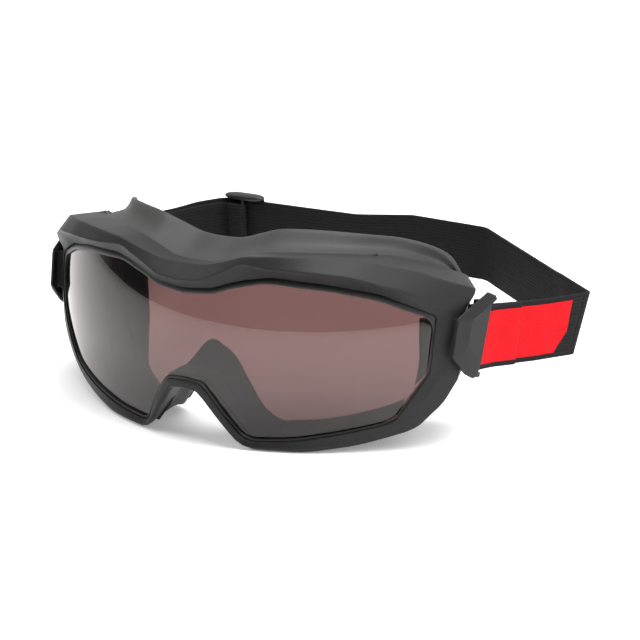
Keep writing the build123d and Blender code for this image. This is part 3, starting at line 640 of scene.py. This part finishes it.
left_outer = np.array([(40, 0.9), (28, 0.95), (14, 0.95), (8.2, 1.8)])
left_inner = np.array([(8.2, -1.2), (14, -0.35), (28, -0.35), (40, -0.35)])
left_line = np.concatenate([left_outer, np.array(round_right_bar), left_inner])
left_top = on_clip(left_line[:, 0], np.full(len(left_line), strap_half), left_line[:, 1]) * mirrored
left_foot = on_clip(left_line[:, 0], np.full(len(left_line), -strap_half), left_line[:, 1]) * mirrored
return_line = np.array([(-105.1, 107.2, -7.8), (-103.6, 116.6, -8.9), (-100.3, 126.6, -9.3), (-94.4, 133.6, -9.0),
                        (-86.5, 134.2, -8.7)])
tail_turn = np.radians(np.arange(90, -91, -30))
slider_middle = np.array((-84.7, 136.0, -7.4))
run_way = np.array((0.999324, 0.036774, 0.0))
in_way = np.array((0.036774, -0.999324, 0.0))
tail_radius, tail_pin_in = 1.2, 2.55
tail_line = (slider_middle + run_way * (tail_radius * np.cos(tail_turn)[:, None])
             + in_way * (tail_pin_in - tail_radius * np.sin(tail_turn))[:, None]
             + (0, 0, -1.2))
tail_end = tail_line[-1] - run_way * 6.0 - in_way * 0.2
tops = np.concatenate([right_top, fold_top, back_line + rise, left_top, return_line + rise,
                       tail_line + rise, [tail_end + rise]])
feet = np.concatenate([right_foot, fold_foot, back_line - rise, left_foot, return_line - rise,
                       tail_line - rise, [tail_end - rise]])


def evenly(tops, feet, spacing, reach):
    """Both edges of a strip, resampled to even spacing along its middle, with each turn rounded by
    averaging over reach samples on each side."""
    middle = (tops + feet) / 2
    length = np.concatenate([[0], np.cumsum(np.linalg.norm(np.diff(middle, axis=0), axis=1))])
    places = np.linspace(0, length[-1], int(length[-1] / spacing) + 1)
    lines = []
    for line in (tops, feet):
        even = np.stack([np.interp(places, length, c) for c in line.T], -1)
        padded = np.concatenate([2 * even[0] - even[reach:0:-1], even, 2 * even[-1] - even[-2:-reach - 2:-1]])
        lines.append(sum(padded[k:k + len(even)] for k in range(2 * reach + 1)) / (2 * reach + 1))
    return lines[0], lines[1], places


def strip_grid(tops, feet, thick, columns=13):
    """Webbing between two edges: its section is a flat band with rounded edges, and its faces stand half
    the thickness out along the cross product of its run and its width."""
    along = np.gradient(tops + feet, axis=0)
    normal = np.cross(along, tops - feet)
    normal = normal / np.linalg.norm(normal, axis=1)[:, None]
    share = np.linspace(-1, 1, columns) * 0.985
    over = np.concatenate([[-1], share, [1], [1], share[::-1], [-1]])
    out = np.concatenate([[0.22], np.full(columns, 0.5), [0.22], [-0.22], np.full(columns, -0.5), [-0.22]]) * thick
    middle, half = (tops + feet) / 2, (tops - feet) / 2
    return middle[:, None] + half[:, None] * over[:, None] + normal[:, None] * out[:, None], over


strap_tops, strap_feet, strap_length = evenly(tops, feet, 0.8, 2)
strap_grid, over = strip_grid(strap_tops, strap_feet, strap_thick)
strap_uv = np.stack(np.broadcast_arrays(strap_length[:, None] * MM, over * strap_half * MM), -1)

webbing = Finish("webbing", (0.009, 0.009, 0.010), 0.85, Specular_IOR_Level=0.1)
uv = webbing.node("ShaderNodeSeparateXYZ", Vector=webbing.coordinate("UV"))
along, across = Level(webbing, uv.outputs["X"]), Level(webbing, uv.outputs["Y"])
rib_pitch, pick_pitch = 0.0012, 0.0009
ribs = abs((across * (np.pi / rib_pitch)).sine())
picks = abs((along * (np.pi / pick_pitch)).sine())
fuzz = webbing.noise(webbing.coordinate(), 2500, 3)
weave = ribs * 0.5 + picks * 0.35 + fuzz * 0.3
webbing.set(webbing.shader, Roughness=0.7 + fuzz * 0.2, Base_Color=webbing.mix(
    weave, (0.004, 0.0038, 0.0042, 1), (0.014, 0.0135, 0.0145, 1)))
webbing.bump(weave, 0.00022)


def nearest_row(point):
    """Index of the strap's row whose middle is nearest a point."""
    return int(np.argmin(np.linalg.norm((strap_tops + strap_feet) / 2 - point, axis=1)))


right_cut = nearest_row(on_clip(63.0, 0.5, -0.3))
left_cut = nearest_row(np.array((-107.0, 107.0, -7.4)))
return_cut = nearest_row(np.array((-105.1, 107.2, -7.8)))
for name, rows, node in (("strap_side_right", slice(0, right_cut + 1), ["strap_loop_right"]),
                         ("strap_back", slice(right_cut, left_cut + 1), ["strap_band"]),
                         ("strap_side_left", slice(left_cut, return_cut + 1), ["strap_loop_left"]),
                         ("strap_return", slice(return_cut, None), ["strap_return", "slider_tail"])):
    piece = surface(name, strap_grid[rows], (False, True), (True, True), strap_uv[rows], webbing)
    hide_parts(*node)
    if name == "strap_back":
        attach(piece, "root")
    elif name == "strap_side_right":
        on_clip(26, 0, 0) * MM
        on_clip(62, 0, 0) * MM
        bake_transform(piece)
    elif name == "strap_side_left":
        on_clip(26, 0, 0) * mirrored * MM
        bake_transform(piece)
    else:
        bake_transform(piece)

# ------------------------------------------------------------------ side panel
# Red woven facing stitched over the strap's right side. It lies over the sewn end of the
# webbing, steps down behind it and ends in a cut-off corner.
panel_line = np.array([
    (3.0, 3.42), (6.0, 2.98), (10, 2.38), (14, 1.83), (24.5, 1.80), (26.6, 1.66), (28.4, 0.66), (30.5, 0.50),
    (45, 0.50), (58.8, 0.50)])
panel_length = np.concatenate([np.arange(3.0, 24, 1.0), np.arange(24, 32, 0.4), np.linspace(32, 58.8, 40)])
panel_out = np.interp(panel_length, *panel_line.T)
panel_out[1:-1] = (panel_out[:-2] + panel_out[1:-1] + panel_out[2:]) / 3
panel_up = np.linspace(-8.6, 8.8, 41)
u, v = np.meshgrid(panel_length, panel_up, indexing="ij")
panel_limit = np.interp(panel_up, (-8.6, -1.8, 8.8), (50.8, 57.6, 58.8))[None]
u = np.where(u > 40, 40 + (u - 40) * (panel_limit - 40) / (58.8 - 40), u)
lean = np.clip((u - 40) / 30, 0, 1)
v = v + lean * 1.0
w = panel_out[:, None] + 0.03 * np.sin(u * 0.9 + v * 0.35) * np.sin(v * 0.5)
panel_face, panel_under = on_clip(u, v, w + 0.16), on_clip(u, v, w - 0.2)
panel_grid = np.concatenate([panel_face, panel_under[:, ::-1]], 1)
panel_uv = np.stack([np.concatenate([u, u[:, ::-1]], 1), np.concatenate([v, v[:, ::-1]], 1)], -1) * MM

panel_fabric = Finish("panel_fabric", (0.78, 0.010, 0.014), 0.8, Specular_IOR_Level=0.03)
uv = panel_fabric.node("ShaderNodeSeparateXYZ", Vector=panel_fabric.coordinate("UV"))
along, across = Level(panel_fabric, uv.outputs["X"]), Level(panel_fabric, uv.outputs["Y"])
threads = abs((along * (np.pi / 0.0006)).sine()) * 0.5 + abs((across * (np.pi / 0.0006)).sine()) * 0.5
cloud = panel_fabric.noise(panel_fabric.coordinate(), 160, 3)
fold_shade = 1 - (1 - (abs(along - 0.0278) / 0.0022).lowest(1.0)) * 0.35
panel_fabric.set(panel_fabric.shader, Base_Color=panel_fabric.mix(
    (threads * 0.6 + cloud * 0.4) * fold_shade, (0.40, 0.006, 0.010, 1), (0.72, 0.016, 0.022, 1)))
panel_fabric.bump(threads, 0.00012)
side_panel = surface("side_panel", panel_grid, (False, True), (True, True), panel_uv, panel_fabric)
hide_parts("side_panel", "side_panel_loop")
on_clip(26, 0, 0) * MM
on_clip(62, 0, 0) * MM
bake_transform(side_panel)

# ------------------------------------------------------------------ slider
# A moulded ladder slider on the back of the strap: two rounded rails joined by two flat
# bars in front of the webbing, and a pin behind it that holds the returning tail.
slider_plastic = Finish("slider_plastic", (0.010, 0.010, 0.010), 0.35)
place = slider_plastic.coordinate()
slider_plastic.set(slider_plastic.shader, Roughness=0.3 + slider_plastic.noise(place, 500, 3) * 0.15)
slider_plastic.bump(slider_plastic.noise(place, 2400, 2), 0.00005)


def rounded_beam(middle, length_way, half_length, first_way, first, second_way, second, power=3.0):
    """A beam whose section is a superellipse and whose ends close in as another superellipse."""
    along = half_length * np.sin(np.linspace(-np.pi / 2, np.pi / 2, 25)) * 0.999
    shrink = (1 - np.abs(along / half_length) ** 4) ** 0.5
    turn = np.linspace(0, 2 * np.pi, 28, endpoint=False)
    a = np.sign(np.cos(turn)) * np.abs(np.cos(turn)) ** (2 / power)
    b = np.sign(np.sin(turn)) * np.abs(np.sin(turn)) ** (2 / power)
    return (np.asarray(middle) + along[:, None, None] * length_way
            + shrink[:, None, None] * (a[:, None] * first * np.asarray(first_way)
                                       + b[:, None] * second * np.asarray(second_way)))


upright = np.array((0, 0, 1.0))
slider_beams = [rounded_beam(slider_middle + upright * z + in_way * 0.7, run_way, 9.0, in_way, 2.5, upright, 1.25)
                for z in (11.9, -11.9)]
slider_beams += [rounded_beam(slider_middle + run_way * x - in_way * 1.4, upright, 12.4, run_way, 1.3, in_way, 0.5)
                 for x in (-6.9, 6.9)]
slider_beams.append(rounded_beam(slider_middle + in_way * 2.55, upright, 12.4, run_way, 0.7, in_way, 0.7, 2.0))
beams = [surface(f"slider_{k}", grid, (False, True), (True, True), finish=slider_plastic)
         for k, grid in enumerate(slider_beams)]
slider = beams[0]
for beam in beams[1:]:
    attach(beam, "slider")
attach(slider, "slider")
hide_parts("slider")
